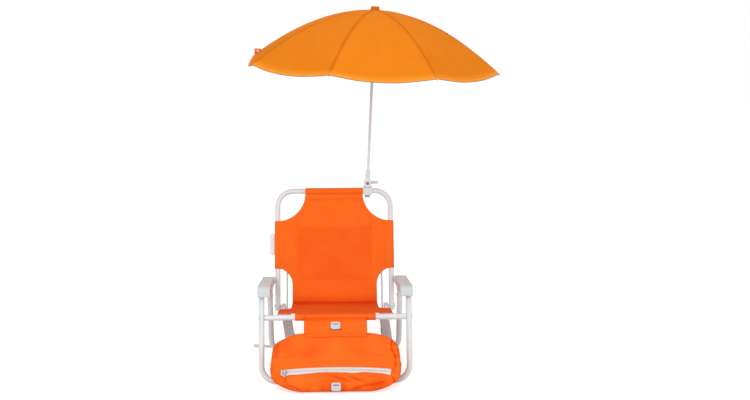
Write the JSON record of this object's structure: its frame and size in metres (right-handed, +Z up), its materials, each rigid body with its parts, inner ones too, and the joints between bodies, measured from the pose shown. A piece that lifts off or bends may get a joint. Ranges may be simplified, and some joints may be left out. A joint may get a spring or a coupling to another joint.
{
  "type": "kids canopy chair",
  "caption": "Low folding beach chair for a child: tube frame, fabric sling, moulded arms, a zipped pouch at the front and a small umbrella clamped to the back.",
  "frame": {"origin": "on the floor, under the middle of the front legs' floor bar", "axes": "+Z up; the chair faces -Y; +X is to the viewer's right, the side the umbrella is on"},
  "size_m": [0.7113, 0.8774, 0.936],
  "materials": {
    "white_paint": "smooth white powder coat",
    "grey_plastic": "moulded light grey plastic, satin",
    "dark_steel": "dark plated metal",
    "steel": "bright plated steel",
    "chair_cloth": "orange woven polyester",
    "canopy_cloth": "thin orange nylon",
    "webbing": "grey flat webbing",
    "zipper_cloth": "pale zipper tape with teeth",
    "tag_cloth": "plain pale tag"
  },
  "bodies": {
    "seat": {"seat_frame": "white_paint", "bracket_left": "white_paint", "bracket_right": "white_paint", "seat_sling": "chair_cloth", "pouch": "chair_cloth", "pouch_neck": "chair_cloth", "zipper_tape": "zipper_cloth", "buckle_upper": "grey_plastic", "buckle_lower": "grey_plastic", "strap_left": "webbing", "strap_right": "webbing", "front_pivot_bolt_left": "steel", "front_pivot_bolt_right": "steel", "rear_leg_bolt_left": "steel", "rear_leg_bolt_right": "steel", "back_pivot_bolt_left": "steel", "back_pivot_bolt_right": "steel"},
    "front_legs": {"front_legs": "white_paint", "arm_front_bolt_left": "steel", "arm_front_bolt_right": "steel"},
    "back": {"back_frame": "white_paint", "back_sling": "chair_cloth", "side_tag": "tag_cloth", "clamp_body": "white_paint", "tilt_screw": "dark_steel"},
    "arm_left": {"arm_left": "grey_plastic", "arm_rear_bolt_left": "steel"},
    "arm_right": {"arm_right": "grey_plastic", "arm_rear_bolt_right": "steel"},
    "rear_legs": {"rear_legs": "white_paint"},
    "clamp_screw": {"clamp_screw": "grey_plastic"},
    "tilt_lever": {"tilt_lever": "grey_plastic"},
    "umbrella": {"knuckle": "white_paint", "pole": "white_paint", "top_cap": "grey_plastic", "crown": "grey_plastic", "canopy": "canopy_cloth"},
    "runner": {"runner": "grey_plastic"},
    "rib_1": {"rib_1": "steel"},
    "stretcher_1": {"stretcher_1": "steel"},
    "rib_2": {"rib_2": "steel"},
    "stretcher_2": {"stretcher_2": "steel"},
    "rib_3": {"rib_3": "steel"},
    "stretcher_3": {"stretcher_3": "steel"},
    "rib_4": {"rib_4": "steel"},
    "stretcher_4": {"stretcher_4": "steel"},
    "rib_5": {"rib_5": "steel"},
    "stretcher_5": {"stretcher_5": "steel"},
    "rib_6": {"rib_6": "steel"},
    "stretcher_6": {"stretcher_6": "steel"},
    "rib_7": {"rib_7": "steel"},
    "stretcher_7": {"stretcher_7": "steel"},
    "rib_8": {"rib_8": "steel"},
    "stretcher_8": {"stretcher_8": "steel"},
    "zip_slider": {"zip_slider": "dark_steel"},
    "zip_pull": {"zip_pull": "dark_steel"}
  },
  "joints": [
    {"name": "fold", "type": "hinge", "parent": "seat", "child": "front_legs", "pos_m": [0, 0.05572, 0.16], "axis": [1, 0, 0], "range_deg": [0, 83], "deforming": ["back_sling", "strap_left", "strap_right", "side_tag"]},
    {"name": "back_fold", "type": "hinge", "parent": "seat", "child": "back", "pos_m": [0, 0.32162, 0.11311], "axis": [1, 0, 0], "range_deg": [0, 83.5]},
    {"name": "arm_left_fold", "type": "hinge", "parent": "front_legs", "child": "arm_left", "pos_m": [0, 0.07898, 0.2239], "axis": [1, 0, 0], "range_deg": [-83.5, 0]},
    {"name": "arm_right_fold", "type": "hinge", "parent": "front_legs", "child": "arm_right", "pos_m": [0, 0.07898, 0.2239], "axis": [1, 0, 0], "range_deg": [-83.5, 0]},
    {"name": "rear_legs_fold", "type": "hinge", "parent": "seat", "child": "rear_legs", "pos_m": [0, 0.21501, 0.11313], "axis": [1, 0, 0], "range_deg": [0, 67.5]},
    {"name": "clamp_screw_turn", "type": "hinge", "parent": "back", "child": "clamp_screw", "pos_m": [0.0955, 0.44778, 0.40221], "axis": [0, 0, 1], "range_deg": [0, 360]},
    {"name": "umbrella_tilt", "type": "hinge", "parent": "back", "child": "umbrella", "pos_m": [0.0955, 0.43278, 0.44101], "axis": [0, 1, 0], "range_deg": [-45, 45]},
    {"name": "tilt_lever_turn", "type": "hinge", "parent": "back", "child": "tilt_lever", "pos_m": [0.0955, 0.44188, 0.44101], "axis": [0, -1, 0], "range_deg": [0, 60]},
    {"name": "furl", "type": "slide", "parent": "umbrella", "child": "runner", "axis": [-0.0436, 0, -0.999], "range_m": [0, 0.2059], "deforming": ["canopy"]},
    {"name": "rib_1_swing", "type": "hinge", "parent": "umbrella", "child": "rib_1", "pos_m": [0.12016, 0.42507, 0.92338], "axis": [0.9054, 0.4226, -0.0395], "range_deg": [0, 64.2]},
    {"name": "stretcher_1_swing", "type": "hinge", "parent": "runner", "child": "stretcher_1", "pos_m": [0.11372, 0.42507, 0.77604], "axis": [-0.9054, -0.4226, 0.0395], "range_deg": [0, 44.34]},
    {"name": "rib_2_swing", "type": "hinge", "parent": "umbrella", "child": "rib_2", "pos_m": [0.12455, 0.42987, 0.92319], "axis": [0.3417, 0.9397, -0.0149], "range_deg": [0, 64.2]},
    {"name": "stretcher_2_swing", "type": "hinge", "parent": "runner", "child": "stretcher_2", "pos_m": [0.11811, 0.42987, 0.77585], "axis": [-0.3417, -0.9397, 0.0149], "range_deg": [0, 44.34]},
    {"name": "rib_3_swing", "type": "hinge", "parent": "umbrella", "child": "rib_3", "pos_m": [0.12426, 0.43637, 0.9232], "axis": [-0.4222, 0.9063, 0.0184], "range_deg": [0, 64.2]},
    {"name": "stretcher_3_swing", "type": "hinge", "parent": "runner", "child": "stretcher_3", "pos_m": [0.11783, 0.43637, 0.77586], "axis": [0.4222, -0.9063, -0.0184], "range_deg": [0, 44.34]},
    {"name": "rib_4_swing", "type": "hinge", "parent": "umbrella", "child": "rib_4", "pos_m": [0.11947, 0.44077, 0.92341], "axis": [-0.9388, 0.342, 0.041], "range_deg": [0, 64.2]},
    {"name": "stretcher_4_swing", "type": "hinge", "parent": "runner", "child": "stretcher_4", "pos_m": [0.11304, 0.44077, 0.77607], "axis": [0.9388, -0.342, -0.041], "range_deg": [0, 44.34]},
    {"name": "rib_5_swing", "type": "hinge", "parent": "umbrella", "child": "rib_5", "pos_m": [0.11298, 0.44048, 0.92369], "axis": [-0.9054, -0.4226, 0.0395], "range_deg": [0, 64.2]},
    {"name": "stretcher_5_swing", "type": "hinge", "parent": "runner", "child": "stretcher_5", "pos_m": [0.10655, 0.44048, 0.77635], "axis": [0.9054, 0.4226, -0.0395], "range_deg": [0, 44.34]},
    {"name": "rib_6_swing", "type": "hinge", "parent": "umbrella", "child": "rib_6", "pos_m": [0.10859, 0.43569, 0.92388], "axis": [-0.3417, -0.9397, 0.0149], "range_deg": [0, 64.2]},
    {"name": "stretcher_6_swing", "type": "hinge", "parent": "runner", "child": "stretcher_6", "pos_m": [0.10215, 0.43569, 0.77654], "axis": [0.3417, 0.9397, -0.0149], "range_deg": [0, 44.34]},
    {"name": "rib_7_swing", "type": "hinge", "parent": "umbrella", "child": "rib_7", "pos_m": [0.10887, 0.42919, 0.92387], "axis": [0.4222, -0.9063, -0.0184], "range_deg": [0, 64.2]},
    {"name": "stretcher_7_swing", "type": "hinge", "parent": "runner", "child": "stretcher_7", "pos_m": [0.10244, 0.42919, 0.77653], "axis": [-0.4222, 0.9063, 0.0184], "range_deg": [0, 44.34]},
    {"name": "rib_8_swing", "type": "hinge", "parent": "umbrella", "child": "rib_8", "pos_m": [0.11366, 0.42479, 0.92366], "axis": [0.9388, -0.342, -0.041], "range_deg": [0, 64.2]},
    {"name": "stretcher_8_swing", "type": "hinge", "parent": "runner", "child": "stretcher_8", "pos_m": [0.10723, 0.42479, 0.77632], "axis": [-0.9388, 0.342, 0.041], "range_deg": [0, 44.34]},
    {"name": "zip_slide", "type": "hinge", "parent": "seat", "child": "zip_slider", "pos_m": [0, -0.74827, -1.58467], "axis": [0, 0.9245, -0.3811], "range_deg": [0, 8.25]},
    {"name": "zip_pull_swing", "type": "hinge", "parent": "zip_slider", "child": "zip_pull", "pos_m": [-0.12836, -0.07323, 0.06064], "axis": [-0.9974, 0.0621, -0.0367], "range_deg": [0, 120]}
  ],
  "couplings": [
    {"joint": "back_fold", "follows": "fold", "ratio": 1},
    {"joint": "arm_left_fold", "follows": "fold", "ratio": -1},
    {"joint": "arm_right_fold", "follows": "fold", "ratio": -1},
    {"joint": "rear_legs_fold", "follows": "fold", "ratio": 0.80723},
    {"joint": "rib_1_swing", "follows": "furl", "rad_per_m": 5.425},
    {"joint": "stretcher_1_swing", "follows": "furl", "rad_per_m": 3.742},
    {"joint": "rib_2_swing", "follows": "furl", "rad_per_m": 5.425},
    {"joint": "stretcher_2_swing", "follows": "furl", "rad_per_m": 3.742},
    {"joint": "rib_3_swing", "follows": "furl", "rad_per_m": 5.425},
    {"joint": "stretcher_3_swing", "follows": "furl", "rad_per_m": 3.742},
    {"joint": "rib_4_swing", "follows": "furl", "rad_per_m": 5.425},
    {"joint": "stretcher_4_swing", "follows": "furl", "rad_per_m": 3.742},
    {"joint": "rib_5_swing", "follows": "furl", "rad_per_m": 5.425},
    {"joint": "stretcher_5_swing", "follows": "furl", "rad_per_m": 3.742},
    {"joint": "rib_6_swing", "follows": "furl", "rad_per_m": 5.425},
    {"joint": "stretcher_6_swing", "follows": "furl", "rad_per_m": 3.742},
    {"joint": "rib_7_swing", "follows": "furl", "rad_per_m": 5.425},
    {"joint": "stretcher_7_swing", "follows": "furl", "rad_per_m": 3.742},
    {"joint": "rib_8_swing", "follows": "furl", "rad_per_m": 5.425},
    {"joint": "stretcher_8_swing", "follows": "furl", "rad_per_m": 3.742}
  ]
}
